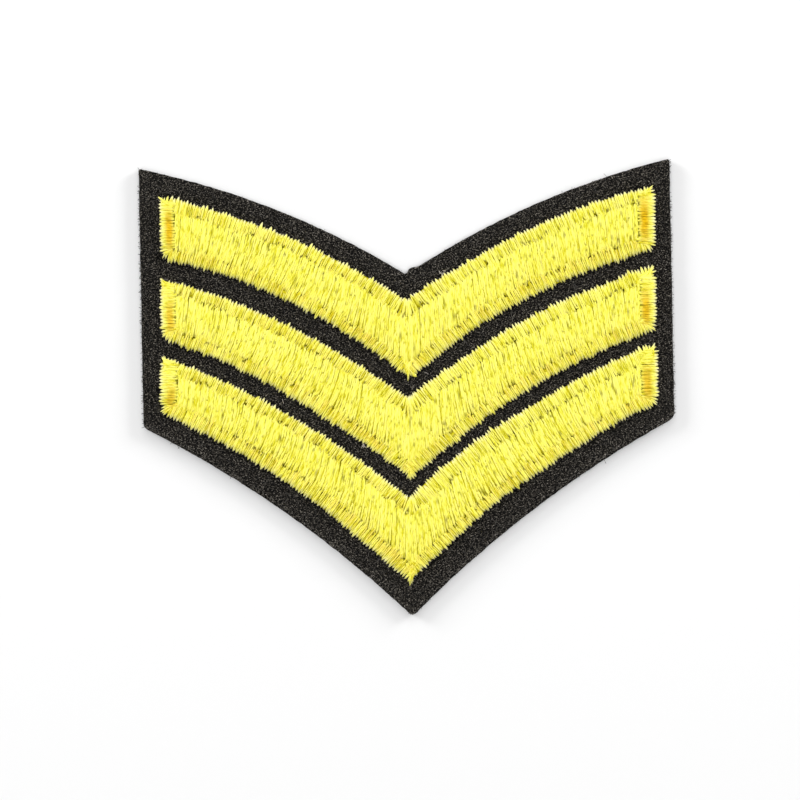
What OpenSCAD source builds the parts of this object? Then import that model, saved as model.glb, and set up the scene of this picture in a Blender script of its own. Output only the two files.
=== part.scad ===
// Rank patch: three curved chevrons embroidered in yellow thread on a black felt ground.
// It lies face up: X runs along its width, +Y from the tip to the notch and +Z out of the face.
// The origin is on the underside, in the middle of the felt's width and height.
// Each chevron is a field of fill stitches inside a raised satin border, and the border's two
// short sides are the ribs at the chevron's ends.

/* [Felt] */
// Width of the felt from side to side
felt_w = 57; // [56:0.5:62]
// Thickness of the felt
felt_t = 1.2; // [1:0.1:2]
// Radius of the two rounded lower corners
corner_r = 0.9; // [0.3:0.1:1.4]
// Radius of the rounded tip
tip_r = 0.6; // [0.3:0.1:1.2]

/* [Chevrons] */
// Distance between the two ends of a chevron
chevron_w = 53; // [48:0.5:54]
// Height of the fill above the felt along its middle
fill_h = 0.75; // [0.6:0.05:1.1]
// Height of the fill above the felt where it meets the border
fill_edge_h = 0.45; // [0.3:0.05:0.6]

/* [Satin border] */
// Width of the border that runs round each chevron
border_w = 1.5; // [1.1:0.1:1.9]
// Height of the border's crest above the felt
border_h = 0.9; // [0.6:0.05:1.3]
// Free space between a border and the fill inside it
border_gap = 0.06; // [0.04:0.01:0.12]

/* [Hidden] */

FELT_COLOUR = [0.17, 0.16, 0.15];
FILL_COLOUR = [0.96, 0.89, 0.30];
BORDER_COLOUR = [0.93, 0.79, 0.22];

// Every long edge is one arc on each arm, the same on both sides of the middle line. Its columns
// are its height on the middle line, its height at its outer end, and how far it bows above the
// straight line between those two. Heights are in mm above the point where the felt's lower
// edges would meet without the tip's rounding.
MID = 0;
END = 1;
BOW = 2;
FELT_TOP = [36.7, 48.6, 1.35];
FELT_BOTTOM = [0, 20.8, 1.3];

// One row for each chevron, with its upper edge and its lower edge.
UPPER = 0;
LOWER = 1;
CHEVRONS = [
    [[33.7, 45.7, 1.5], [25.3, 38.9, 1.8]],
    [[23.3, 37.0, 1.45], [14.4, 30.3, 1.6]],
    [[12.6, 28.6, 1.4], [3.6, 22.4, 1.4]]
];

// Straight pieces that each arc is drawn with
arc_steps = 14;
// Straight pieces in a rounded corner
corner_steps = 6;
// Outlines that a border's rounded back is built from, and rows across a fill
border_steps = 8;
fill_rows = 8;

felt_reach = felt_w / 2;
chevron_reach = chevron_w / 2;

function unit(v) = v / norm(v);

// The arc of an edge on the right arm: [centre x, centre y, radius]
function arc_of(edge, reach) =
    let (
        chord = norm([reach, edge[END] - edge[MID]]),
        radius = (chord * chord / 4 + edge[BOW] * edge[BOW]) / (2 * edge[BOW]),
        along = [reach, edge[END] - edge[MID]] / chord,
        centre = [reach, edge[END] + edge[MID]] / 2 + [along[1], -along[0]] * (radius - edge[BOW])
    )
    [centre[0], centre[1], radius];

// Height of an edge at x, moved outwards from its arc's centre by shift
function edge_y(edge, reach, x, shift = 0) =
    let (arc = arc_of(edge, reach))
    arc[1] + sqrt(pow(arc[2] + shift, 2) - pow(abs(x) - arc[0], 2));

// The points of an edge from the left side to the right side
function edge_points(edge, reach, width, shift = 0) =
    [for (i = [-arc_steps:arc_steps])
        let (x = width * i / arc_steps)
        [x, edge_y(edge, reach, x, shift)]];

function reversed(list) = [for (i = [len(list) - 1:-1:0]) list[i]];

// Centre of the arc of radius r that rounds the corner b between a and c
function fillet_centre(a, b, c, r) =
    let (
        u = unit(a - b),
        v = unit(c - b),
        half = acos(u * v) / 2
    )
    b + unit(u + v) * r / sin(half);

// The points of that arc
function fillet(a, b, c, r) =
    let (
        u = unit(a - b),
        v = unit(c - b),
        reach = r / tan(acos(u * v) / 2),
        centre = fillet_centre(a, b, c, r),
        first = b + u * reach - centre,
        last = b + v * reach - centre
    )
    [for (i = [0:corner_steps])
        let (t = i / corner_steps)
        centre + r * unit(first * (1 - t) + last * t)];

function mirrored(points) = [for (p = reversed(points)) [-p[0], p[1]]];

felt_lower = edge_points(FELT_BOTTOM, felt_reach, felt_reach);
felt_tip = fillet(
    felt_lower[arc_steps + 1], felt_lower[arc_steps], felt_lower[arc_steps - 1], tip_r);
felt_corner = fillet(
    [felt_reach, FELT_TOP[END]], felt_lower[2 * arc_steps], felt_lower[2 * arc_steps - 1], corner_r);
felt_lower_right = [for (i = [2 * arc_steps - 1:-1:arc_steps + 1]) felt_lower[i]];

// Lowest point of the tip, and the height that lies at the origin
tip_y = fillet_centre(
    felt_lower[arc_steps + 1], felt_lower[arc_steps], felt_lower[arc_steps - 1], tip_r)[1] - tip_r;
middle_y = (FELT_TOP[END] + tip_y) / 2;

// The outline of a chevron, drawn in from its own edge by inset
function chevron_outline(chevron, inset) =
    concat(
        edge_points(chevron[UPPER], chevron_reach, chevron_reach - inset, -inset),
        reversed(edge_points(chevron[LOWER], chevron_reach, chevron_reach - inset, inset)));

module felt_ground() {
    outline = concat(
        edge_points(FELT_TOP, felt_reach, felt_reach),
        felt_corner,
        felt_lower_right,
        felt_tip,
        mirrored(felt_lower_right),
        mirrored(felt_corner));
    color(FELT_COLOUR)
        translate([0, -middle_y, 0])
            linear_extrude(felt_t)
                polygon(outline);
}

// Height of the border's back above the felt at share s of its width, as half an ellipse
function border_z(s) = border_h * sqrt(max(0, 1 - pow(2 * s - 1, 2)));

// A closed band whose back rises and falls through nested outlines
module satin_border(chevron) {
    outlines = [for (j = [0:border_steps])
        let (s = (1 - cos(180 * j / border_steps)) / 2)
        [for (p = chevron_outline(chevron, border_w * s))
            [p[0], p[1] - middle_y, felt_t + border_z(s)]]];
    count = len(outlines[0]);
    rings = border_steps + 1;
    color(BORDER_COLOUR)
        polyhedron(
            points = [for (ring = outlines) each ring],
            faces = [for (j = [0:rings - 1], i = [0:count - 1])
                let (
                    i2 = (i + 1) % count,
                    j2 = (j + 1) % rings
                )
                [j * count + i, j * count + i2, j2 * count + i2, j2 * count + i]]);
}

// Height of the fill's back above the felt at share s of its width, as a shallow crown
function fill_z(s) = fill_edge_h + (fill_h - fill_edge_h) * (1 - pow(2 * s - 1, 2));

// A crowned field that fills the border, in rows from its lower edge to its upper edge
module stitch_fill(chevron) {
    inset = border_w + border_gap;
    width = chevron_reach - inset;
    upper = edge_points(chevron[UPPER], chevron_reach, width, -inset);
    lower = edge_points(chevron[LOWER], chevron_reach, width, inset);
    count = len(upper);
    layer = count * (fill_rows + 1);
    function at(i, s) = lower[i] + (upper[i] - lower[i]) * s;
    back = [for (j = [0:fill_rows], i = [0:count - 1])
        let (s = j / fill_rows, p = at(i, s))
        [p[0], p[1] - middle_y, felt_t + fill_z(s)]];
    seat = [for (p = back) [p[0], p[1], felt_t]];
    cells = [for (j = [0:fill_rows - 1], i = [0:count - 2]) j * count + i];
    top_row = fill_rows * count;
    color(FILL_COLOUR)
        polyhedron(
            points = concat(back, seat),
            faces = concat(
                [for (k = cells) [k, k + count, k + count + 1, k + 1]],
                [for (k = cells) [layer + k, layer + k + 1, layer + k + count + 1, layer + k + count]],
                [for (i = [0:count - 2]) [i, i + 1, layer + i + 1, layer + i]],
                [for (i = [top_row:top_row + count - 2]) [i + 1, i, layer + i, layer + i + 1]],
                [for (j = [0:fill_rows - 1])
                    let (k = j * count)
                    [k + count, k, layer + k, layer + k + count]],
                [for (j = [0:fill_rows - 1])
                    let (k = j * count + count - 1)
                    [k, k + count, layer + k + count, layer + k]]));
}

felt_ground();
stitch_fill(CHEVRONS[0]);  // fill_upper
stitch_fill(CHEVRONS[1]);  // fill_middle
stitch_fill(CHEVRONS[2]);  // fill_lower
satin_border(CHEVRONS[0]);  // border_upper
satin_border(CHEVRONS[1]);  // border_middle
satin_border(CHEVRONS[2]);  // border_lower
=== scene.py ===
import math

import bpy
import numpy as np
from mathutils import Matrix, Vector


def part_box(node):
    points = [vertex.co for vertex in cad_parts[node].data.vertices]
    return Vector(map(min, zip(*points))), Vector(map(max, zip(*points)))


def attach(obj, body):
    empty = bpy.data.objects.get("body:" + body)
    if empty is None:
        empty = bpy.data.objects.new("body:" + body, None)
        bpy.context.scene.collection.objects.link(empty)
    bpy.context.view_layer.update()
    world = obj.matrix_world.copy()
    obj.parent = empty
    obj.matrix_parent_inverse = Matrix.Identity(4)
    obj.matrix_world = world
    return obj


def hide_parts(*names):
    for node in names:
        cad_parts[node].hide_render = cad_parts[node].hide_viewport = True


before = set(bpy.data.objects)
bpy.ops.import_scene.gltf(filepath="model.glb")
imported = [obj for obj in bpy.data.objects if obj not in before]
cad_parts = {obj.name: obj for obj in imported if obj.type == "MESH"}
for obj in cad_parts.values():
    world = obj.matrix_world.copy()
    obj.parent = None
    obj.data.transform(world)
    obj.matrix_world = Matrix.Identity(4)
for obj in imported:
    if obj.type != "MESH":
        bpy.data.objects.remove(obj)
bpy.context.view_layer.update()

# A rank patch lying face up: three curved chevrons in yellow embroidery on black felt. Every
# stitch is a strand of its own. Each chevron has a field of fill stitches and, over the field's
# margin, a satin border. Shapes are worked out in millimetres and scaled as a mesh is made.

MM = 0.001

# Sizes that the CAD model gives, in mm
felt_low, felt_high = [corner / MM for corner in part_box("felt_ground")]
FELT_REACH = felt_high.x
FELT_T = felt_high.z
CHEVRON_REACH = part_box("border_upper")[1].x / MM

# The long edges of the felt and of the chevrons, as part.scad has them. Each is one arc on each
# arm. Its columns are its height on the middle line, its height at its outer end, and how far it
# bows above the straight line between them.
MID, END, BOW = 0, 1, 2
FELT_TOP = (36.7, 48.6, 1.35)
FELT_BOTTOM = (0.0, 20.8, 1.3)
UPPER, LOWER = 0, 1
CHEVRONS = {
    "upper": ((33.7, 45.7, 1.5), (25.3, 38.9, 1.8)),
    "middle": ((23.3, 37.0, 1.45), (14.4, 30.3, 1.6)),
    "lower": ((12.6, 28.6, 1.4), (3.6, 22.4, 1.4)),
}
MIDDLE_Y = FELT_TOP[END] - felt_high.y

# The embroidery, in mm
BORDER_W = 1.5
BORDER_H = 0.9
LONG_BORDER_H = 0.75
FILL_H = 0.78
FILL_EDGE_H = 0.65
# Width and thickness of the thread where it lies loose, in the fill, and where it is pressed
# together, in the border
FILL_W = 0.27
FILL_T = 0.18
SATIN_W = 0.19
SATIN_T = 0.17
# How uneven that width and thickness are from stitch to stitch, as shares
WIDTH_SPREAD = 0.12
THICK_SPREAD = 0.08
# One turn of the thread's two plies, and how much of the thread the stitches are cut from
TWIST = 2.0
THREAD_LENGTH = 90
# From one needle hole to the next along a satin border, from one fill row to the next, and from
# one needle hole to the next along a row: usually, and at least beside the border
STITCH_PITCH = 0.36
ROW_SPACING = 0.2
FILL_STITCH = 3.4
SHORTEST_FILL_STITCH = 1.4
# How far across to its inner hole a satin stitch is while it keeps to its lane
LANE = 0.64
# Over how far the satin stitches turn at a corner
CORNER_FAN = 0.6
# How far inside the outline the fill's rows end, below the satin border
FILL_INSET = 1.18
# How far the outermost rows stay clear of the border's inner side, and how much farther on the
# left
ROW_MARGIN = 0.12
LEFT_ROW_MARGIN = 0.2
# How far below the felt's face a satin stitch starts, and how far a fill stitch dives at its holes
STITCH_FOOT = 0.15
HOLE_DIVE = 0.06
# How much thinner the thread is where it is pulled into a hole
PULLED_THIN = 0.35
# How far the stitches pull the felt down beside them, and how far from them the dip reaches
FELT_DIP = 0.25
DIP_REACH = 0.35
# Lean of the fill rows to the right of straight up, in degrees, on the left arm and on the right
# arm: at the rows' lower ends and at their upper ends
LEANS = {
    "upper": ((24, 14), (-11, -7)),
    "middle": ((27, 12), (-17, -10)),
    "lower": ((24, 8), (-27, -18)),
}
# The orange stretch of painted shade on each chevron's left end and right end, where the stitches
# lie across the lamps and catch no highlight: its middle, as a share of the end's height from
# below, its half length, as such a share, and its strength
PAINTED_GOLD_SHADE_ENDS = {
    "upper": ((0.42, 0.33, 0.97), (0.49, 0.36, 1.0)),
    "middle": ((0.3, 0.3, 0.8), (0.36, 0.31, 0.95)),
    "lower": ((0.22, 0.24, 0.72), (0.38, 0.33, 0.84)),
}

# How far the stitching reaches past the even outline of each chevron, in mm. Its upper edge and
# its lower edge have pairs of x and reach, and its left end and its right end pairs of a share of
# the end's height, from below, and reach.
STRAYING = {
    "upper": (
        ((-26.3, -0.4), (-25.2, 0.3), (-22.5, 0), (-5, 0.1), (-1.5, 0.25), (2.5, 0.3), (5.5, 0.05),
         (24, 0.1), (26.4, -0.1)),
        ((-26.4, -0.4), (-25.6, 0.1), (-23, -0.05), (-17, -0.15), (-5, -0.1), (-0.5, -0.2),
         (2.3, 0.2), (8, 0.05), (15, 0.2), (26, 0.25)),
        ((0, -0.6), (0.1, -0.3), (0.2, -0.15), (0.92, -0.15), (1, -0.4)),
        ((0, 0.1), (0.1, 0.35), (0.93, 0.4), (1, 0.05)),
    ),
    "middle": (
        ((-26, -0.25), (-24.5, 0), (-1, 0.1), (0.5, 0.3), (5, 0.15), (16, 0.25), (22, 0.1),
         (25.5, 0.3)),
        ((-26.4, -0.2), (-25.6, 0.15), (-20, -0.05), (-9, 0.2), (-1.5, -0.15), (0.7, -0.2),
         (3, 0), (14, 0), (22, 0.1), (26, 0.25)),
        ((0, -0.2), (0.15, -0.1), (0.5, 0), (1, -0.15)),
        ((0, 0.1), (0.1, 0.3), (0.85, 0.3), (1, 0.05)),
    ),
    "lower": (
        ((-26, -0.15), (-24.5, 0), (-1, 0), (1, 0.4), (7, 0.5), (14, 0.25), (19, 0.3), (25.7, 0.35),
         (26.4, 0.1)),
        ((-26, 0.2), (-18, 0.15), (-10, 0.25), (-5, 0.4), (-1, 0.3), (0.7, -0.25), (3, 0),
         (10, -0.2), (14, 0), (18, 0.15), (22, 0), (26, 0.15)),
        ((0, 0.1), (0.1, 0.2), (0.7, 0.15), (0.85, 0), (1, -0.25)),
        ((0, 0.2), (0.1, 0.35), (0.93, 0.35), (1, 0.05)),
    ),
}


class Arc:
    """One long edge on the right arm. The left arm is its mirror image."""

    def __init__(self, row, reach):
        rise = row[END] - row[MID]
        chord = math.hypot(reach, rise)
        self.radius = (chord * chord / 4 + row[BOW] ** 2) / (2 * row[BOW])
        back = self.radius - row[BOW]
        self.x = reach / 2 + rise / chord * back
        self.y = (row[MID] + row[END]) / 2 - reach / chord * back - MIDDLE_Y

    def height(self, x, shift=0.0):
        """Height at x of the line that lies shift outside the edge."""
        return self.y + np.sqrt((self.radius + shift) ** 2 - (np.abs(x) - self.x) ** 2)

    def angle(self, x, shift=0.0):
        """Angle from straight up, about the arc's centre, of that line's point at x."""
        return math.asin((x - self.x) / (self.radius + shift))

    def point(self, angle, shift=0.0):
        """That line's point at an angle."""
        r = self.radius + shift
        return np.stack([self.x + r * np.sin(angle), self.y + r * np.cos(angle)], -1)


def select_only(obj):
    bpy.ops.object.select_all(action="DESELECT")
    obj.select_set(True)
    bpy.context.view_layer.objects.active = obj


def apply_modifier(obj, kind, **settings):
    """Adds a modifier with these settings and applies it."""
    select_only(obj)
    modifier = obj.modifiers.new(kind.title(), kind)
    for name, value in settings.items():
        setattr(modifier, name, value)
    bpy.ops.object.modifier_apply(modifier=modifier.name)


def new_object(name, mesh):
    obj = bpy.data.objects.new(name, mesh)
    bpy.context.scene.collection.objects.link(obj)
    return obj


def read_points(mesh):
    """A mesh's vertices, one in each row."""
    points = np.zeros(len(mesh.vertices) * 3)
    mesh.vertices.foreach_get("co", points)
    return points.reshape(-1, 3)


def write_points(mesh, points):
    mesh.vertices.foreach_set("co", points.ravel())


def merged_copy(name, node):
    """A copy of a CAD node, with its loose triangles merged into one surface."""
    obj = new_object(name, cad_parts[node].data.copy())
    obj.data.materials.clear()
    select_only(obj)
    bpy.ops.object.mode_set(mode="EDIT")
    bpy.ops.mesh.select_all(action="SELECT")
    bpy.ops.mesh.remove_doubles(threshold=0.001 * MM)
    bpy.ops.object.mode_set(mode="OBJECT")
    return obj


class Strand:
    """A round strand of unit radius and unit length, modelled once. Its copies bend along paths."""

    def __init__(self, sides, rings):
        bpy.ops.object.select_all(action="DESELECT")
        bpy.ops.mesh.primitive_cylinder_add(
            vertices=sides, radius=1, depth=1, end_fill_type="TRIFAN", location=(0, 0, 0.5))
        obj = bpy.context.object
        bpy.ops.object.transform_apply(location=True)
        bpy.ops.object.mode_set(mode="EDIT")
        bpy.ops.mesh.select_mode(type="EDGE")
        bpy.ops.mesh.select_all(action="DESELECT")
        bpy.ops.object.mode_set(mode="OBJECT")
        for edge in obj.data.edges:
            a, b = [obj.data.vertices[i].co.z for i in edge.vertices]
            edge.select = abs(a - b) > 0.5
        bpy.ops.object.mode_set(mode="EDIT")
        bpy.ops.mesh.subdivide(number_cuts=rings - 2)
        bpy.ops.mesh.select_all(action="SELECT")
        bpy.ops.mesh.quads_convert_to_tris()
        bpy.ops.object.mode_set(mode="OBJECT")
        mesh = obj.data
        self.co = read_points(mesh)
        self.ring = np.rint(self.co[:, 2] * (rings - 1)).astype(int)
        # Where the rings come along a path, closer together near its ends
        self.steps = (1 - np.cos(math.pi * np.linspace(0, 1, rings))) / 2
        faces = np.zeros(len(mesh.loops), int)
        mesh.loops.foreach_get("vertex_index", faces)
        self.faces = faces.reshape(-1, 3)
        # Share of the way round at each face corner, unbroken across the seam
        turn = np.arctan2(self.co[:, 1], self.co[:, 0]) / (2 * math.pi) % 1.0
        corner = turn[self.faces]
        corner = np.where(np.ptp(corner, 1, keepdims=True) > 0.5, corner + (corner < 0.5), corner)
        self.turn = corner
        bpy.data.objects.remove(obj)

    def mesh(self, name, paths, side, width, thick, phase=0.0, groove=0.0, **tones):
        """One joined mesh of many strands. paths holds each strand's points, one for each ring,
        and side the level direction in which it is wide, for each strand or for each of its
        points. phase says where on its thread a strand starts, in mm, and groove how deep the
        groove between the two plies is, as a share of the radius. Each of tones becomes an
        attribute."""
        count, rings, _ = paths.shape
        length = np.linalg.norm(np.diff(paths, axis=1), axis=2).sum(1)
        along = self.steps[None] * length[:, None] + phase
        tangent = np.gradient(paths, axis=1)
        tangent /= np.linalg.norm(tangent, axis=2, keepdims=True) + 1e-12
        across = side if side.ndim == 3 else np.repeat(side[:, None], rings, 1)
        across = across - tangent * (across * tangent).sum(2, keepdims=True)
        across /= np.linalg.norm(across, axis=2, keepdims=True) + 1e-12
        over = np.cross(tangent, across)
        angle = np.arctan2(self.co[:, 1], self.co[:, 0])[None]
        ply = 1 + groove * np.cos(2 * angle - 4 * math.pi * along[:, self.ring] / TWIST)
        a = (self.co[:, 0][None] * width[:, self.ring] * ply)[..., None] / 2
        b = (self.co[:, 1][None] * thick[:, self.ring] * ply)[..., None] / 2
        points = paths[:, self.ring] + across[:, self.ring] * a + over[:, self.ring] * b
        per = len(self.co)
        faces = (self.faces[None] + np.arange(count)[:, None, None] * per).reshape(-1, 3)
        mesh = bpy.data.meshes.new(name)
        mesh.vertices.add(count * per)
        write_points(mesh, points * MM)
        mesh.loops.add(faces.size)
        mesh.loops.foreach_set("vertex_index", faces.ravel())
        mesh.polygons.add(len(faces))
        mesh.polygons.foreach_set("loop_start", np.arange(len(faces)) * 3)
        mesh.update(calc_edges=True)
        uv = np.stack([np.repeat(self.turn[None], count, 0), along[:, self.ring[self.faces]]], -1)
        mesh.uv_layers.new(name="strand").data.foreach_set("uv", uv.ravel())
        for tone, values in tones.items():
            values = np.broadcast_to(values, (count, rings))[:, self.ring].ravel()
            mesh.attributes.new(tone, "FLOAT", "POINT").data.foreach_set("value", values)
        mesh.polygons.foreach_set("use_smooth", np.ones(len(faces), bool))
        return mesh


def hex_colour(code):
    """An sRGB hex value as linear red, green, blue and alpha."""
    parts = [int(code[i:i + 2], 16) / 255 for i in (0, 2, 4)]
    return [c / 12.92 if c <= 0.04045 else ((c + 0.055) / 1.055) ** 2.4 for c in parts] + [1.0]


class Material:
    """A node material in the making, with its Principled shader."""

    def __init__(self, name):
        self.material = bpy.data.materials.new(name)
        self.material.use_nodes = True
        self.tree = self.material.node_tree
        self.shader = self.tree.nodes["Principled BSDF"]

    def feed(self, node, inputs):
        """Sets a node's inputs, each to a value or to another node's output."""
        for name, value in inputs.items():
            if isinstance(value, bpy.types.NodeSocket):
                self.tree.links.new(value, node.inputs[name])
            else:
                node.inputs[name].default_value = value

    def node(self, kind, inputs=None, stops=(), **settings):
        """Adds a node and returns its outputs. stops are the places and the hex colours of a
        colour ramp."""
        made = self.tree.nodes.new("ShaderNode" + kind)
        for name, value in settings.items():
            setattr(made, name, value)
        self.feed(made, inputs or {})
        if stops:
            elements = made.color_ramp.elements
            while len(elements) < len(stops):
                elements.new(0.5)
            for element, (place, code) in zip(elements, stops):
                element.position = place
                element.color = hex_colour(code)
        return made.outputs


# Stitches

stitch = Strand(sides=6, rings=13)
fill_stitch = Strand(sides=6, rings=17)


class Outline:
    """The closed outline of a chevron or of the felt, clockwise from its notch. Its points are
    about 0.05 mm apart."""

    SPACING = 0.05

    def __init__(self, rows, reach):
        upper, lower = Arc(rows[UPPER], reach), Arc(rows[LOWER], reach)
        top = upper.point(np.linspace(upper.angle(0), upper.angle(reach), 200))
        bottom = lower.point(np.linspace(lower.angle(reach), lower.angle(0), 200))
        right = np.concatenate([top, bottom])
        loop = np.concatenate([right, right[-2:0:-1] * (-1, 1), right[:1]])
        length = np.concatenate([[0], np.cumsum(np.linalg.norm(np.diff(loop, axis=0), axis=1))])
        self.length = length[-1]
        count = int(self.length / self.SPACING)
        self.at = np.arange(count) * self.length / count
        self.points = np.stack([np.interp(self.at, length, loop[:, k]) for k in (0, 1)], -1)
        along = np.roll(self.points, -1, 0) - np.roll(self.points, 1, 0)
        self.inward = np.stack([along[:, 1], -along[:, 0]], -1)
        self.inward /= np.linalg.norm(self.inward, axis=1, keepdims=True)

    def sample(self, values, at):
        """Values along the outline, read at other places on it."""
        place = np.append(self.at, self.length)
        rows = np.concatenate([values, values[:1]])
        return np.stack([np.interp(at % self.length, place, row) for row in rows.T], -1)

    def stitch_vectors(self, width):
        """From the outline to the inner side of a satin border: square to the edge, and turning
        gradually at each corner."""
        away = np.minimum(self.at, self.length - self.at)
        kernel = np.exp(-(away / CORNER_FAN) ** 2 / 2)
        turned = np.fft.fft(self.inward, axis=0) * np.fft.fft(kernel / kernel.sum())[:, None]
        turned = np.fft.ifft(turned, axis=0).real
        turned /= np.linalg.norm(turned, axis=1, keepdims=True)
        square = (turned * self.inward).sum(1, keepdims=True)
        # At a corner a stitch is at most 1 / 0.62 times as long as elsewhere
        return turned * width / np.maximum(square, 0.62)


def level(points, z):
    """Points of the plan, raised to z."""
    return np.concatenate([points, np.broadcast_to(z, points.shape[:-1])[..., None]], -1)


def smooth_step(value):
    value = np.clip(value, 0, 1)
    return value * value * (3 - 2 * value)


def at_end(points, margin):
    """Which of these places lie on a chevron's short ends or within a margin of them."""
    return np.abs(points[:, 0]) > CHEVRON_REACH - margin


def end_share(points):
    """How far a place on a chevron's outline belongs to its short end: 1 in the end's middle
    stretch, and 0 at its corners and on the long edges."""
    y = points[:, 1]
    on_end = at_end(points, 0.15)
    inside = np.minimum(y - y[on_end].min(), y[on_end].max() - y)
    # It starts 0.2 mm from the corner and takes 1.6 mm
    return np.where(on_end, smooth_step((inside - 0.2) / 1.6), 0.0)


def straying(name, points):
    """How far the stitching reaches past the outline at each of its points."""
    x, y = points[:, 0], points[:, 1]
    on_end = at_end(points, 0.1)
    upper, lower = [Arc(row, CHEVRON_REACH) for row in CHEVRONS[name]]
    middle = (upper.height(x) + lower.height(x)) / 2
    top, bottom, left, right = [np.array(pairs).T for pairs in STRAYING[name]]
    share = (y - y[on_end].min()) / np.ptp(y[on_end])
    edge_reach = np.where(y > middle, np.interp(x, *top), np.interp(x, *bottom))
    end_reach = np.where(x < 0, np.interp(share, *left), np.interp(share, *right))
    return np.where(on_end, end_reach, edge_reach)[:, None]


def golden_share(name, points, lit, rng):
    """How much painted shade turns each stitch orange, where the lamps leave no highlight on it: in
    one stretch of either end, and in patches of the lower edge, most of them on the left arm beside
    the middle line, and less where the stitch faces the light."""
    x, y = points[:, 0], points[:, 1]
    on_end = at_end(points, 0.3)
    share = (y - y[on_end].min()) / (y[on_end].max() - y[on_end].min())
    marks = rng.random(80)
    round_share = np.arange(len(points)) / len(points)
    patch = np.interp(round_share * len(marks), np.arange(len(marks)), marks)
    golden = 0.5 * smooth_step((patch - 0.3) / 0.4) * np.exp(-((x + 3) / 6) ** 2)
    # The long edges get a little of this painted shade beside the ends too
    golden = golden + 0.4 * np.exp(-((np.abs(x) - CHEVRON_REACH) / 0.7) ** 2)
    golden = golden * (1 - 0.8 * lit[:, 0])
    for side, (middle, half, strength) in zip((-1, 1), PAINTED_GOLD_SHADE_ENDS[name]):
        stretch = strength * np.exp(-np.abs((share - middle) / half) ** 2.6)
        golden = np.where(on_end & (x * side > 0), stretch, golden)
    return golden[:, None]


def corner_share(vectors):
    """How far satin stitches belong to a corner, where they are longer than elsewhere."""
    longer = np.linalg.norm(vectors, axis=1, keepdims=True) / BORDER_W - 1
    return np.clip(3 * longer, 0, 1)


def satin_profile(share, crest, inner_drop):
    """Height of a satin stitch at a share of its length from the outer edge. It rises steeply out
    of the felt, lies flat on top and dips at its inner end."""
    rise = (1 - np.clip(1 - 2.8 * share, 0, 1) ** 1.6) ** 0.38
    dip = inner_drop * np.clip(2.2 * share - 1.2, 0, 1) ** 5
    return (crest + STITCH_FOOT) * rise - STITCH_FOOT - dip


def outer_holes(outline, vectors):
    """Where the needle holes on a border's outer side lie along its outline. They are closer
    together where the stitches would gape on the inside."""
    inside = outline.points + vectors
    step = outline.length / len(outline.at)
    gape = np.linalg.norm(np.roll(inside, -1, 0) - inside, axis=1) / step
    spread = np.cumsum(np.clip(0.8 * gape, 1, 4)) * step
    count = int(spread[-1] / STITCH_PITCH)
    return np.interp(np.arange(count) * spread[-1] / count, spread, outline.at + step)


class SatinStitches:
    """Every satin stitch of a chevron's border: its two ends, the direction square to the edge,
    how far it belongs to a short end and to a corner, how far its outer tip faces the light, and
    how much painted shade turns it orange. The thread runs out and back, so two stitches share
    each needle hole."""

    def __init__(self, name, rng):
        outline = Outline(CHEVRONS[name], CHEVRON_REACH)
        vectors = outline.stitch_vectors(BORDER_W)
        along = np.stack([-vectors[:, 1], vectors[:, 0]], -1)
        along = along / np.linalg.norm(along, axis=1, keepdims=True)
        at = outer_holes(outline, vectors)
        count = len(at)
        even = outline.sample(outline.points, at)
        on_end = end_share(even)[:, None]
        lit = np.clip(1.1 - 1.2 * outline.sample(outline.inward, at)[:, 1:], 0, 1)
        # Orange painted shade, where the stitch catches no highlight
        golden = golden_share(name, even, lit, rng)
        # The outer ends slip a little along the edge and stray a little across it
        slip = rng.normal(0, 0.05, (count, 1)) * (1 - 0.8 * on_end)
        vector = outline.sample(vectors, at)
        outward = rng.normal(0.02, 0.09, (count, 1)) + 0.12 * (rng.random((count, 1)) < 0.12)
        outward = outward * (1 - 0.5 * np.maximum(corner_share(vector), on_end))
        outward = outward + straying(name, even)
        outer = even + outline.sample(along, at) * slip - vector / BORDER_W * outward
        # The inner ends lie halfway between. The left ends are a little wider than the right ones.
        between = (at + np.append(at[1:], at[0] + outline.length)) / 2
        square = outline.sample(vectors, between)
        beside = outline.sample(along, between)
        wide = 1.12 - 0.06 * on_end + 0.14 * on_end * (even[:, :1] < 0)
        uneven = 0.03 * on_end + 0.2 * (1 - on_end)
        reach = wide + rng.normal(0, 1, (count, 1)) * uneven
        inner = outline.sample(outline.points, between) + square * reach
        inner = inner + beside * rng.normal(0, 0.03, (count, 1))
        apart = beside * SATIN_W * 0.2
        self.start = np.concatenate([outer, np.roll(outer, -1, 0)])
        self.finish = np.concatenate([inner - apart, inner + apart])
        self.square, self.on_end, self.lit, self.golden = [
            np.concatenate([values, values]) for values in (square, on_end, lit, golden)]
        self.corner = corner_share(self.square)


def satin_paths(stitches, heights, steps, bow):
    """The stitches' paths at the given heights. Each leaves its outer hole for a lane of its own,
    keeps to it, and turns to its inner hole at the end. The lanes lie evenly side by side. bow
    bends a stitch sideways."""
    run = stitches.finish - stitches.start
    square = stitches.square / np.linalg.norm(stitches.square, axis=1, keepdims=True)
    drift = run - square * (run * square).sum(1, keepdims=True)
    turning = np.abs(2 * steps - 1) ** 3
    lane = np.where(steps < 0.5, LANE * (1 - turning), LANE + (1 - LANE) * turning)
    side = np.stack([-square[:, 1], square[:, 0]], -1)
    plan = stitches.start[:, None] + run[:, None] * steps[None, :, None]
    plan = plan + drift[:, None] * (lane - steps)[None, :, None]
    plan = plan + side[:, None] * (bow[:, None] * np.sin(math.pi * steps)[None])[..., None]
    return level(plan, heights), level(side, 0.0)


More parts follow.
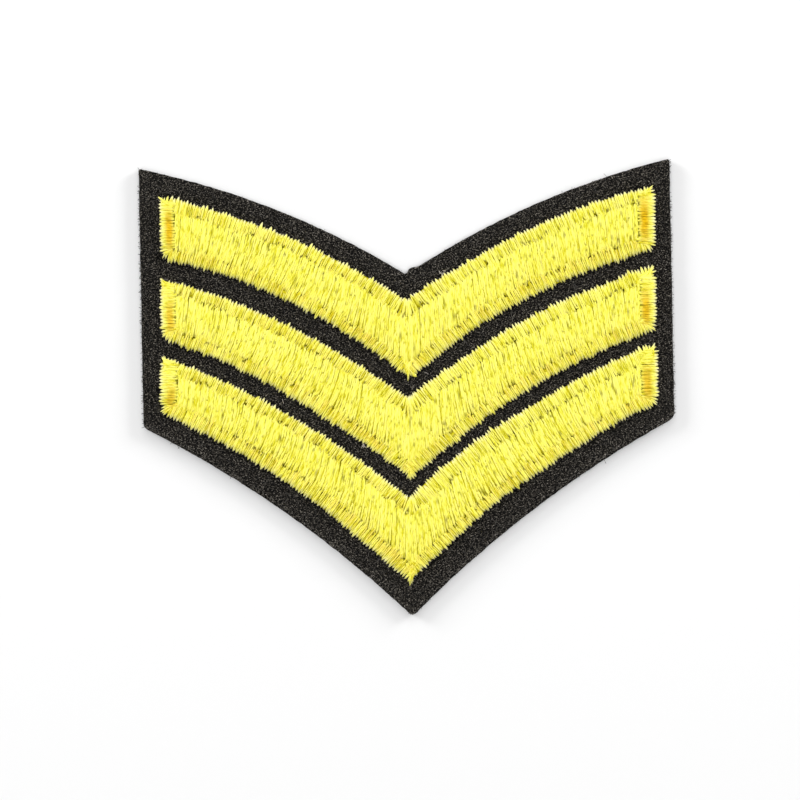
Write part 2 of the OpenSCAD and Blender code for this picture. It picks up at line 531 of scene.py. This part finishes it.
def border_piece(name, seed):
    """The satin border of one chevron."""
    rng = np.random.default_rng(seed)
    stitches = SatinStitches(name, rng)
    on_end = stitches.on_end
    count = len(on_end)
    steps = stitch.steps
    # The inner ends of some stitches are pulled into their holes, and painted shade darkens them
    # there
    pulled = rng.random((count, 1)) < (0.27 + 0.27 * on_end) * (1 - stitches.corner)
    crest = LONG_BORDER_H + (BORDER_H - LONG_BORDER_H) * on_end
    crest = crest + rng.normal(0, 0.025, (count, 1)) * (1 - 0.8 * on_end)
    inner_drop = 0.06 + 0.12 * on_end
    heights = FELT_T - SATIN_T / 2 + satin_profile(steps[None], crest, inner_drop)
    bow = rng.normal(0, 0.02, count)
    paths, side = satin_paths(stitches, heights, steps, bow)
    spread = rng.normal(0, WIDTH_SPREAD, (count, 1)) * (1 - 0.4 * on_end)
    width = SATIN_W * (1 + 0.28 * on_end + spread)
    thick = SATIN_T * (1 + rng.normal(0, THICK_SPREAD, (count, 1)))
    # The strand is thinner where it leaves the felt, near its inner end and where it is pulled in
    taper = 1 - (0.65 - 0.2 * on_end) * np.clip(1 - (5 + 2 * on_end) * steps, 0, 1) ** 1.2
    narrows = 0.8 + 0.05 * on_end
    taper = taper - (0.1 + 0.15 * on_end) * np.clip((steps - narrows) / (1 - narrows), 0, 1)
    dark = rng.uniform(0.8, 0.96, (count, 1)) * (1 - on_end) + 0.98 * on_end
    # Painted shade over the pulled-in part of each pulled stitch
    deep = pulled * rng.uniform(0.4, 1.3, (count, 1)) * np.exp(-((steps - dark) / 0.08) ** 2)
    deep = np.clip(deep, 0, 1)
    taper = taper * (1 - PULLED_THIN * deep)
    uneven = 1 + rng.normal(0, 0.05, (count, len(steps)))
    # Along the long edges the stitches get a little orange painted shade, more than the fill: most
    # along the lower edges, which face away from the light, and hardly on the right arm's upper
    # edge
    right_arm = 1.0 * (stitches.start[:, :1] > 0)
    edge_painted_shade = 0.2 - stitches.lit * (0.07 + 0.11 * right_arm)
    edge_painted_shade = edge_painted_shade * smooth_step((steps - 0.1) / 0.4)
    edge_painted_shade = edge_painted_shade * (0.3 + 1.9 * rng.random((count, 1)) ** 2)
    # On the short ends the stretch of orange painted shade lies over the middle of the stitch
    end_painted_shade = stitches.golden * np.exp(-np.abs((steps - 0.62) / 0.24) ** 4)
    golden = np.maximum(edge_painted_shade * (1 - on_end), end_painted_shade)
    # The outer tips are paler: painted highlight where they catch the light, more on tips that face
    # it
    worn = np.clip(1 - steps / 0.28, 0, 1) * (0.8 + 0.2 * stitches.lit)
    worn = worn * rng.uniform(0.3, 1.4, (count, 1))
    dye = 0.5 + rng.uniform(-1.3, 1.3, (count, 1)) * (1 - 0.5 * on_end)
    return stitch.mesh("border_" + name, paths, side, width * taper * uneven, thick * taper,
                       phase=rng.uniform(0, THREAD_LENGTH, (count, 1)),
                       dye=dye, golden=golden, worn=worn, deep=deep)


def fill_height(share):
    """Height of the fill above the felt at a share of the way from its lower edge."""
    return FILL_EDGE_H + (FILL_H - FILL_EDGE_H) * (1 - np.abs(2 * share - 1) ** 6)


class FillRows:
    """The rows of a chevron's fill, side by side along its arms. Each runs from the lower edge to
    the upper edge, and a share says how far up it a place is."""

    def __init__(self, name, rng):
        self.upper, self.lower = [Arc(row, CHEVRON_REACH) for row in CHEVRONS[name]]
        self.right = CHEVRON_REACH - BORDER_W - ROW_MARGIN
        self.left = LEFT_ROW_MARGIN - self.right
        count = int((self.right - self.left) / ROW_SPACING)
        self.x = np.linspace(self.left, self.right, count) + rng.normal(0, 0.02, count)
        bottom, top = self.ends(self.x)
        self.height = top - bottom
        arm = np.sin(math.pi * np.abs(self.x) / CHEVRON_REACH)
        lean = np.where(self.x[:, None] < 0, *LEANS[name]) + rng.normal(0, 1.0, (count, 1))
        self.lean = np.tan(np.radians(lean)) * arm[:, None]
        # Where each row's first needle hole is. Holes of neighbouring rows lie far apart.
        self.first = np.cumsum(rng.uniform(0.3, 0.7, count)) % 1 * FILL_STITCH

    def ends(self, x):
        """Heights of the fill's lower edge and upper edge at x."""
        return self.lower.height(x, FILL_INSET), self.upper.height(x, -FILL_INSET)

    def plan(self, row, share):
        """Places on one row at these shares of the way up."""
        low, high = self.lean[row]
        run = low * (share - 0.5) + (high - low) * (share ** 2 - 0.25) / 2
        x = np.clip(self.x[row] + self.height[row] * run, self.left, self.right)
        bottom, top = self.ends(x)
        return np.stack([x, bottom + (top - bottom) * share], -1)

    def needle_holes(self, row, rng):
        """Shares at which the thread goes through the felt, staggered from row to row."""
        length = self.height[row]
        cuts = np.arange(self.first[row], length, FILL_STITCH)
        cuts = cuts + rng.normal(0, 0.3, len(cuts))
        cuts = cuts[(cuts > SHORTEST_FILL_STITCH) & (cuts < length - SHORTEST_FILL_STITCH)]
        low, high = rng.normal(0, 0.15, 2)
        return np.concatenate([[low], cuts, [length + high]]) / length


def fill_piece(name, seed):
    """The field of fill stitches of one chevron."""
    rng = np.random.default_rng(seed)
    rows = FillRows(name, rng)
    steps = fill_stitch.steps
    # How near each step is to a needle hole: 1 at the stitch's two ends and 0 in its middle
    to_hole = np.abs(2 * steps - 1)
    paths, side, deep, golden = [], [], [], []
    for row in range(len(rows.x)):
        holes = rows.needle_holes(row, rng)
        for low, high in zip(holes[:-1], holes[1:]):
            share = low + (high - low) * steps
            plan = rows.plan(row, share) + rng.normal(0, 0.015, 2)
            along = plan[-1] - plan[0]
            across = np.array([-along[1], along[0]]) / np.hypot(*along)
            plan = plan + across * rng.normal(0, 0.02, (len(steps), 1))
            z = FELT_T + fill_height(share) - FILL_T / 2 - HOLE_DIVE * to_hole ** 6
            z = z + rng.normal(0, 0.012) + rng.normal(0, 0.006, len(steps))
            paths.append(level(plan, z))
            side.append([across[0], across[1], 0.0])
            # The thread is pulled in most at the holes beside the border, and painted shade darkens
            # it there
            beside = np.exp(-(np.minimum(share, 1 - share) * rows.height[row] / 1.6) ** 2)
            pulled = np.where(steps < 0.5, *rng.random(2) ** 1.5) * (0.15 + 0.35 * beside)
            pulled = pulled * np.clip(to_hole * 8 - 6.2, 0, 1)
            # A few stitches narrow over a short stretch, which painted shade darkens as a dark gap
            gap = 1 - np.abs(steps - rng.uniform(0.1, 0.9)) / 0.15
            deep.append(np.maximum(pulled, rng.uniform(-2.6, 0.8) * np.clip(gap, 0, 1)))
            # The lower part of each row gets a little orange painted shade, as it faces away from
            # the light
            golden.append(0.1 * np.clip(1 - 1.5 * share, 0, 1))
    count = len(paths)
    deep = np.array(deep)
    width = FILL_W * (1 + rng.normal(0, WIDTH_SPREAD, (count, 1))) * (1 - PULLED_THIN * deep)
    thick = FILL_T * (1 + rng.normal(0, THICK_SPREAD, (count, 1)))
    taper = 1 - 0.35 * to_hole ** 10
    uneven = 1 + rng.normal(0, 0.08, (count, len(steps)))
    return fill_stitch.mesh("fill_" + name, np.array(paths), np.array(side),
                            width * taper * uneven, thick * taper,
                            phase=rng.uniform(0, THREAD_LENGTH, (count, 1)),
                            dye=rng.random((count, 1)), golden=np.array(golden), worn=0.0,
                            deep=deep)


# Loose ends of thread: a stray stitch at the upper chevron's left corner, a small loop at its tip
# and a long stitch at the lower chevron's tip
LOOSE_ENDS = {
    "upper": (
        ((-25.5, 20.3, 1.9), (-25.9, 20.7, 1.95), (-26.2, 20.95, 1.7), (-26.4, 21.1, 1.35)),
        ((0.45, 1.75, 1.8), (0.65, 1.4, 1.75), (0.85, 1.35, 1.6), (0.8, 1.6, 1.5)),
    ),
    "middle": (),
    "lower": (
        ((-0.2, -19.7, 1.95), (-0.18, -20.4, 1.8), (-0.2, -20.8, 1.5), (-0.22, -21.05, 1.15)),
    ),
}


def loose_ends(name):
    """The loose ends of thread of one chevron, or nothing."""
    ends = np.array(LOOSE_ENDS[name])
    if not len(ends):
        return None
    steps = stitch.steps
    marks = np.linspace(0, 1, ends.shape[1])
    paths = np.array([np.stack([np.interp(steps, marks, end[:, k]) for k in range(3)], -1)
                      for end in ends])
    along = paths[:, -1] - paths[:, 0]
    side = np.stack([-along[:, 1], along[:, 0], 0 * along[:, 0]], -1)
    size = np.broadcast_to(0.32 - 0.16 * steps, (len(ends), len(steps)))
    # Painted highlight that makes each loose end paler along the second half of its path
    worn = np.broadcast_to(0.3 * smooth_step((steps - 0.4) / 0.6), size.shape)
    mesh = stitch.mesh("loose_ends_" + name, paths, side, size, size, groove=0.15,
                       dye=0.8, golden=0.0, worn=worn, deep=0.0)
    mesh.materials.append(thread)
    return new_object("loose_ends_" + name, mesh)


def fit_under_stitches(core, name):
    """Lowers a border's packed stitches along the long edges, where the visible ones lie lower
    too, and lets their rim stray from the outline as the visible ones do."""
    points = read_points(core.data) / MM
    # The ends' bands reach 2.5 mm in from the outline, with 1 mm in which they pass into the long
    # ones, and are 7 % higher than in the solid
    on_end = smooth_step(np.abs(points[:, 0]) - CHEVRON_REACH + 2.5)
    lower = (1 - LONG_BORDER_H / BORDER_H) * (1 - on_end) - 0.07 * on_end
    points[:, 2] -= lower * np.maximum(points[:, 2] - FELT_T, 0)
    outline = Outline(CHEVRONS[name], CHEVRON_REACH)
    away = np.hypot(*(points[:, None, :2] - outline.points[None]).transpose(2, 0, 1))
    nearest = away.argmin(1)
    near_rim = np.clip(1.2 - away.min(1) / 1.2, 0, 1)[:, None]
    # At a corner, where the stitches fan out, the rim is drawn in
    inward = outline.stitch_vectors(1.0)
    corner = np.linalg.norm(inward, axis=1, keepdims=True) - 1
    reach = straying(name, outline.points) - 1.6 * corner
    points[:, :2] -= inward[nearest] * reach[nearest] * near_rim
    write_points(core.data, points * MM)


def packed_stitches(node, grow, sink):
    """The stitches packed below the visible ones, as a copy of the solid that stands for them,
    grown or shrunk and then sunk."""
    core = merged_copy(node + "_core", node)
    apply_modifier(core, "DISPLACE", strength=grow * MM, mid_level=0.0)
    core.data.transform(Matrix.Translation((0, 0, -sink * MM)))
    kind, name = node.split("_")
    if kind == "border":
        fit_under_stitches(core, name)
    bpy.ops.object.shade_smooth()
    return core


def join_into(first, second):
    """Joins the second object into the first."""
    select_only(first)
    second.select_set(True)
    bpy.ops.object.join()


# Materials

# The colour sockets of a Mix node: its two inputs and its output
FIRST, SECOND, MIXED = 6, 7, 2


def thread_material():
    """Trilobal polyester embroidery thread, dyed a gold yellow. It is smooth and glossy, with
    lemon highlights, because much of their light comes back through the dyed fibres."""
    m = Material("polyester_embroidery_thread")
    uv = m.node("UVMap", uv_map="strand")["UV"]
    dye, golden, deep, worn = [m.node("Attribute", attribute_name=name)["Fac"]
                               for name in ("dye", "golden", "deep", "worn")]
    # Filaments are 0.02 mm wide in the real thread. They are drawn about 0.3 mm wide and 1 mm
    # long, to show: 2.4 of them round a strand and 0.9 in each mm along it.
    streaks = m.node("Mapping", {"Vector": uv, "Scale": (2.4, 0.9, 1.0)})["Vector"]
    filament = m.node("TexNoise", {"Vector": streaks, "Scale": 1.0, "Detail": 2.0})["Fac"]
    # The two plies: 1 on their crests and -1 in the groove between them
    place = m.node("SeparateXYZ", {"Vector": uv})
    turn = m.node("Math", {0: place["Y"], 1: -1 / TWIST, 2: place["X"]},
                  operation="MULTIPLY_ADD")["Value"]
    wave = m.node("Math", {0: turn, 1: 4 * math.pi}, operation="MULTIPLY")["Value"]
    plies = m.node("Math", {0: wave}, operation="COSINE")["Value"]
    # Tone: the filament streaks, which stand for the filaments and paint their fine highlights and
    # shade, the strand's own dye, a tone that differs at random, and its plies, whose term paints
    # shade in the groove between them
    tone = m.node("Math", {0: filament, 1: 1.7, 2: -0.49}, operation="MULTIPLY_ADD")["Value"]
    tone = m.node("Math", {0: dye, 1: 0.19, 2: tone}, operation="MULTIPLY_ADD")["Value"]
    tone = m.node("Math", {0: plies, 1: 0.06, 2: tone}, operation="MULTIPLY_ADD")["Value"]
    lemon = m.node("ValToRGB", {"Fac": tone},
                   stops=((0.1, "D1C81A"), (0.4, "F3EF60"), (0.7, "F7F17B")))["Color"]
    # Orange for the stretches of painted shade
    orange = m.node("ValToRGB", {"Fac": tone},
                    stops=((0.25, "BA8E00"), (0.45, "D4A600"), (0.7, "E8BC00")))["Color"]
    # Orange stretches are painted shade, where the stitches catch no highlight. Painted shade
    # darkens the thread where it is pulled into a needle hole or narrows into a gap, and a painted
    # highlight makes the outer tips of the satin stitches and the loose ends pale.
    colour = lemon
    for share, other in ((golden, orange), (deep, hex_colour("564900")),
                         (worn, hex_colour("FFF9C8"))):
        colour = m.node("Mix", {"Factor": share, FIRST: colour, SECOND: other},
                        data_type="RGBA")[MIXED]
    # Gloss and sheen are turned down where the painted shade lies, since a hole shades reflections
    # too
    shine = m.node("Math", {0: deep, 1: -0.45, 2: 0.5}, operation="MULTIPLY_ADD")["Value"]
    sheen = m.node("Math", {0: deep, 1: -0.13, 2: 0.13}, operation="MULTIPLY_ADD")["Value"]
    lift = m.node("Math", {0: plies, 1: 0.3, 2: filament}, operation="MULTIPLY_ADD")["Value"]
    bump = m.node("Bump", {"Height": lift, "Strength": 0.7, "Distance": 0.05 * MM})["Normal"]
    m.feed(m.shader, {
        "Base Color": colour,
        "Roughness": 0.4,
        "IOR": 1.6,
        "Specular IOR Level": shine,
        "Specular Tint": hex_colour("F6EC60"),
        "Sheen Weight": sheen,
        "Sheen Roughness": 0.4,
        "Sheen Tint": hex_colour("FFF288"),
        "Normal": bump,
    })
    return m.material


def packed_material():
    """The same thread where it lies packed below the surface stitches and gets little light. Its
    darker yellow is painted shade.
    """
    m = Material("packed_polyester_thread")
    place = m.node("TexCoord")["Object"]
    # The grain is as coarse as the strands are wide
    grain = m.node("TexNoise", {"Vector": place, "Scale": 1 / (0.2 * MM), "Detail": 2.0})["Fac"]
    # A darker yellow than the surface thread: painted shade
    colour = m.node("ValToRGB", {"Fac": grain}, stops=((0.35, "C6BA12"), (0.65, "DED428")))
    bump = m.node("Bump", {"Height": grain, "Strength": 0.5, "Distance": 0.08 * MM})
    m.feed(m.shader, {"Base Color": colour["Color"], "Roughness": 0.8,
                      "Specular IOR Level": 0.1, "Normal": bump["Normal"]})
    return m.material


def felt_material():
    """Pressed wool and viscose felt, dyed black: matt, with pale specks where single fibres
    catch the light and dark pits between them."""
    m = Material("pressed_felt")
    place = m.node("TexCoord")["Object"]
    # Fibres are 0.03 mm thick. They are drawn about 0.13 mm wide, to show, and lie in three
    # directions.
    grain = [1 / (size * MM) for size in (0.17, 0.125, 0.15)]
    layers = []
    for turn in (0.3, 1.3, 2.4):
        laid = m.node("Mapping", {"Vector": place, "Rotation": (0, 0, turn), "Scale": grain})
        layer = m.node("TexNoise", {"Vector": laid["Vector"], "Scale": 1.0, "Detail": 1.5})
        layers.append(layer["Fac"])
    fibres = layers[0]
    for layer in layers[1:]:
        fibres = m.node("Math", {0: fibres, 1: layer}, operation="MAXIMUM")["Value"]
    colour = m.node("ValToRGB", {"Fac": fibres}, stops=(
        (0.552, "000000"), (0.602, "110F0C"), (0.661, "47433D"), (0.72, "837E75")))
    bump = m.node("Bump", {"Height": fibres, "Strength": 1.0, "Distance": 0.15 * MM})
    m.feed(m.shader, {"Base Color": colour["Color"], "Roughness": 0.95,
                      "Specular IOR Level": 0.15, "Normal": bump["Normal"]})
    return m.material


def fibre_material():
    """The felt's loose fibres: thin, dark and a little shiny. A few are undyed and pale, and those
    along the lower edge are paler, a painted highlight.
    """
    m = Material("felt_fibre")
    dye = m.node("Attribute", attribute_name="dye")["Fac"]
    colour = m.node("ValToRGB", {"Fac": dye}, stops=(
        (0.0, "1A1816"), (0.75, "36332F"), (0.96, "6A655E"), (1.0, "D8CFC6")))
    m.feed(m.shader, {"Base Color": colour["Color"], "Roughness": 0.6})
    return m.material


# The felt


def beside_stitches(x, y):
    """Distance from the embroidery's outline, in mm, outside it."""
    nearest = np.full(x.shape, 99.0)
    for rows in CHEVRONS.values():
        for row in rows:
            arc = Arc(row, CHEVRON_REACH)
            away = np.abs(np.hypot(np.abs(x) - arc.x, y - arc.y) - arc.radius)
            past = np.maximum(np.abs(x) - CHEVRON_REACH, 0)
            nearest = np.minimum(nearest, np.hypot(away, past))
    return nearest


def felt_dip(x, y):
    """How far the felt is pulled down at these places."""
    return FELT_DIP * np.exp(-(beside_stitches(x, y) / DIP_REACH) ** 2)


def under_stitches(x, y, margin):
    """Whether a place lies under the embroidery, drawn in by a margin."""
    found = np.zeros(len(x), bool)
    for upper, lower in CHEVRONS.values():
        top = Arc(upper, CHEVRON_REACH).height(x, -margin)
        bottom = Arc(lower, CHEVRON_REACH).height(x, margin)
        found |= (y < top) & (y > bottom) & (np.abs(x) < CHEVRON_REACH - margin)
    return found


def felt_piece():
    """The felt: a remeshed copy of its solid, uneven, with softened rims, and pulled down
    beside the embroidery."""
    felt = merged_copy("felt", "felt_ground")
    apply_modifier(felt, "REMESH", mode="VOXEL", voxel_size=0.25 * MM)
    apply_modifier(felt, "SHRINKWRAP", target=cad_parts["felt_ground"],
                   wrap_method="NEAREST_SURFACEPOINT")
    clouds = bpy.data.textures.new("felt_unevenness", "CLOUDS")
    clouds.noise_scale = 0.9 * MM
    clouds.noise_depth = 2
    apply_modifier(felt, "DISPLACE", texture=clouds, texture_coords="LOCAL",
                   strength=0.16 * MM, mid_level=0.5)
    points = read_points(felt.data) / MM
    x, y, z = points.T
    top = np.clip((z - FELT_T / 2) / (FELT_T / 2), 0, 1)
    points[:, 2] = np.maximum(z - felt_dip(x, y) * top, 0)
    # The cutter left a small step, 0.4 mm high, just to the right of the notch
    below = Arc(FELT_TOP, FELT_REACH).height(x) - y
    step = smooth_step(x / 0.3) * np.exp(-((x - 0.3) / 0.8) ** 2)
    points[:, 1] += 0.4 * step * np.exp(-(below / 0.8) ** 2)
    write_points(felt.data, points * MM)
    felt.data.update()
    bpy.ops.object.shade_smooth()
    return felt


fibre = Strand(sides=3, rings=5)


def face_fibres(count, rng):
    """Short fibres lying on the felt's face: where each starts, and its heading and length."""
    top, bottom = Arc(FELT_TOP, FELT_REACH), Arc(FELT_BOTTOM, FELT_REACH)
    x = rng.uniform(-FELT_REACH + 0.3, FELT_REACH - 0.3, count * 4)
    y = rng.uniform(felt_low.y, felt_high.y, count * 4)
    keep = (y < top.height(x, -0.3)) & (y > bottom.height(x, 0.3)) & ~under_stitches(x, y, 0.1)
    start = np.stack([x[keep], y[keep], np.full(keep.sum(), FELT_T)], -1)[:count]
    heading = rng.uniform(0, 2 * math.pi, len(start))
    length = rng.gamma(4.0, 0.1, len(start))
    return start, heading, length


def rim_fibres(count, rng):
    """Fibres that stick out of the felt's cut edge a little, most of them on its two sides."""
    outline = Outline((FELT_TOP, FELT_BOTTOM), FELT_REACH)
    at = rng.uniform(0, outline.length, count)
    place, inward = outline.sample(outline.points, at), outline.sample(outline.inward, at)
    on_side = np.abs(inward[:, 0]) > 0.98
    keep = on_side | (rng.random(count) < 0.06)
    place, inward, on_side = place[keep], inward[keep], on_side[keep]
    start = level(place + inward * 0.1, rng.uniform(0.1, FELT_T, len(place)))
    heading = np.arctan2(-inward[:, 1], -inward[:, 0]) + rng.normal(0, 0.7, len(place))
    length = np.where(on_side, 0.3, 0.2) * rng.uniform(0.6, 1.3, len(place))
    return start, heading, length


def edge_fibres(count, rng):
    """Short fibres that the cutter raised along the lower edge, a little inside it. They are pale,
    a painted highlight where the cut rim catches the light.
    """
    outline = Outline((FELT_TOP, FELT_BOTTOM), FELT_REACH)
    at = rng.uniform(0, outline.length, count)
    place, inward = outline.sample(outline.points, at), outline.sample(outline.inward, at)
    keep = inward[:, 1] > 0.4
    place, inward = place[keep], inward[keep]
    start = level(place + inward * rng.uniform(0.15, 0.5, (len(place), 1)), FELT_T + 0.03)
    heading = np.arctan2(inward[:, 0], -inward[:, 1]) + rng.normal(0, 0.8, len(place))
    return start, heading, rng.uniform(0.1, 0.25, len(place))


# Pale fibres that have caught on the patch, one by one: where each starts, its heading in degrees
# and its length
LINT = (
    (1.7, 1.8, -22, 0.6),
    (-13.4, -1.3, 108, 0.5),
    (-15.3, -0.5, 70, 0.2),
)
# Small tufts of pale fibres on the edges of the stitching, and how many fibres each has
TUFTS = ((3.9, 12.4), (-4.9, -5.9), (5.4, -7.1))
TUFT_FIBRES = 9
# How many places are drawn at random for fibres: on the felt's face, round its cut edge and for
# the raised fibres along its lower edge
FACE_PLACES = 3000
RIM_PLACES = 1200
EDGE_PLACES = 1300


def caught_fibres(rng):
    """The pale fibres and tufts."""
    x, y, turn, length = np.array(LINT).T
    start = np.stack([x, y, np.full(len(x), FELT_T + 0.05)], -1)
    tufts = np.repeat(np.array(TUFTS), TUFT_FIBRES, 0)
    tufts = tufts + rng.normal(0, 0.09, tufts.shape)
    tufts = level(tufts, FELT_T + rng.uniform(0.2, 0.6, len(tufts)))
    heading = np.concatenate([np.radians(turn), rng.uniform(0, 2 * math.pi, len(tufts))])
    length = np.concatenate([length, rng.uniform(0.25, 0.45, len(tufts))])
    return np.concatenate([start, tufts]), heading, length


def fibre_piece(seed):
    """The felt's loose fibres. They are drawn about 0.05 mm thick, nearly twice their real
    thickness, so that they show."""
    rng = np.random.default_rng(seed)
    groups = (face_fibres(FACE_PLACES, rng), rim_fibres(RIM_PLACES, rng),
              edge_fibres(EDGE_PLACES, rng), caught_fibres(rng))
    start, heading, length = [np.concatenate(parts) for parts in zip(*groups)]
    count = len(start)
    # The fibres along the lower edge are paler than the rest, a painted highlight where the cut rim
    # catches the light, and the caught ones are undyed
    dye = rng.random((count, 1)) * 0.96
    edge, caught = len(groups[2][0]), len(groups[3][0])
    dye[-edge - caught:] = rng.uniform(0.85, 0.985, (edge + caught, 1))
    dye[-caught:] = 1.0
    steps = fibre.steps
    turn = heading[:, None] + rng.normal(0, 0.9, (count, 1)) * (steps - 0.5)[None]
    stride = length[:, None] * np.diff(steps, prepend=0.0)[None]
    onward = np.stack([np.cos(turn), np.sin(turn)], -1)
    plan = start[:, None, :2] + np.cumsum(onward * stride[..., None], 1)
    rise = np.abs(rng.normal(0, 0.05, (count, 1))) * np.sin(math.pi * steps)[None]
    z = np.maximum(start[:, 2:] - felt_dip(plan[..., 0], plan[..., 1]) + rise, 0.05)
    side = level(np.stack([-np.sin(turn), np.cos(turn)], -1), 0.0)
    size = rng.uniform(0.035, 0.06, (count, 1)) * np.ones(len(steps))
    mesh = fibre.mesh("felt_fibres", level(plan, z), side, size, size, dye=dye)
    return new_object("felt_fibres", mesh)


# Build

# Where the random draws of the pieces start
BORDER_SEED = 11
FILL_SEED = 21
FIBRE_SEED = 31

thread = thread_material()
packed = packed_material()
felt_finish = felt_material()
fibre_finish = fibre_material()


def finish_piece(piece, slot, *nodes):
    """Rides a piece on the patch's one body, where it may take the place of CAD nodes."""
    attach(piece, "root")
    if nodes:
        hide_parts(*nodes)


def thread_piece(name, mesh, node, slot, grow, sink, loose=None):
    """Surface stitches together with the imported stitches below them."""
    piece = new_object(name, mesh)
    mesh.materials.append(thread)
    if loose:
        join_into(piece, loose)
    core = packed_stitches(node, grow, sink)
    core.data.materials.append(packed)
    join_into(piece, core)
    finish_piece(piece, slot, node)


for number, name in enumerate(CHEVRONS):
    border = border_piece(name, BORDER_SEED + number)
    thread_piece("satin_border_" + name, border, "border_" + name, "border_thread",
                 grow=-0.22, sink=0.0, loose=loose_ends(name))
    fill = fill_piece(name, FILL_SEED + number)
    thread_piece("stitch_fill_" + name, fill, "fill_" + name, "fill_thread",
                 grow=0.25, sink=0.33)

felt = felt_piece()
felt.data.materials.append(felt_finish)
finish_piece(felt, "felt", "felt_ground")
fibres = fibre_piece(FIBRE_SEED)
fibres.data.materials.append(fibre_finish)
finish_piece(fibres, "felt")

# Floor, light and camera

bpy.ops.object.select_all(action="DESELECT")
bpy.ops.mesh.primitive_plane_add(size=3, location=(0, 0, 0))
floor = bpy.context.object
floor.name = "floor"
paper = Material("white_paper")
paper.feed(paper.shader, {"Base Color": hex_colour("EAEAEA"), "Roughness": 0.9})
floor.data.materials.append(paper.material)

world = bpy.data.worlds.new("studio")
bpy.context.scene.world = world
world.use_nodes = True
background = world.node_tree.nodes["Background"]
background.inputs["Color"].default_value = (1, 1, 1, 1)
background.inputs["Strength"].default_value = 0.27


def softbox(name, azimuth, elevation, distance, size, power):
    """A square area light that points at the patch. Azimuth turns from +X towards +Y."""
    data = bpy.data.lights.new(name, "AREA")
    data.shape = "SQUARE"
    data.size = size
    data.energy = power
    light = bpy.data.objects.new(name, data)
    bpy.context.scene.collection.objects.link(light)
    a, e = math.radians(azimuth), math.radians(elevation)
    place = Vector((math.cos(a) * math.cos(e), math.sin(a) * math.cos(e), math.sin(e))) * distance
    light.location = place
    light.rotation_euler = place.to_track_quat("Z", "Y").to_euler()


softbox("softbox_right", azimuth=30, elevation=25, distance=0.7, size=0.28, power=2.6)
softbox("softbox_left", azimuth=150, elevation=25, distance=0.7, size=0.28, power=2.6)
softbox("softbox_far", azimuth=90, elevation=50, distance=0.7, size=0.3, power=0.9)
softbox("softbox_overhead", azimuth=270, elevation=86, distance=0.8, size=0.5, power=2.9)

# The camera looks straight down from far above. The photo is 800 pixels square and spans
# PHOTO_WIDTH mm of the felt's face. It shows the patch turned a little to the left, and
# SEEN_POINT of it at SEEN_PIXEL.
PHOTO_SIZE = 800
PHOTO_WIDTH = 85.87
ROLL = math.radians(1.1)
SEEN_PIXEL = (408.3, 388.8)
SEEN_POINT = Vector((0.0, 0.03, 0.0))
CAMERA_DISTANCE = 600.0
SENSOR_WIDTH = 36
per_pixel = PHOTO_WIDTH / PHOTO_SIZE
right = Vector((math.cos(ROLL), -math.sin(ROLL), 0))
up = Vector((math.sin(ROLL), math.cos(ROLL), 0))
aim = SEEN_POINT - right * (SEEN_PIXEL[0] - PHOTO_SIZE / 2) * per_pixel
aim = aim - up * (PHOTO_SIZE / 2 - SEEN_PIXEL[1]) * per_pixel
camera_data = bpy.data.cameras.new("camera")
camera_data.sensor_width = SENSOR_WIDTH
camera_data.lens = SENSOR_WIDTH * CAMERA_DISTANCE / PHOTO_WIDTH
camera_data.clip_start = 0.01
camera = bpy.data.objects.new("camera", camera_data)
bpy.context.scene.collection.objects.link(camera)
camera.location = (aim + Vector((0, 0, CAMERA_DISTANCE + FELT_T))) * MM
camera.rotation_euler = (0, 0, -ROLL)
bpy.context.scene.camera = camera
bpy.context.scene.view_settings.view_transform = "Standard"
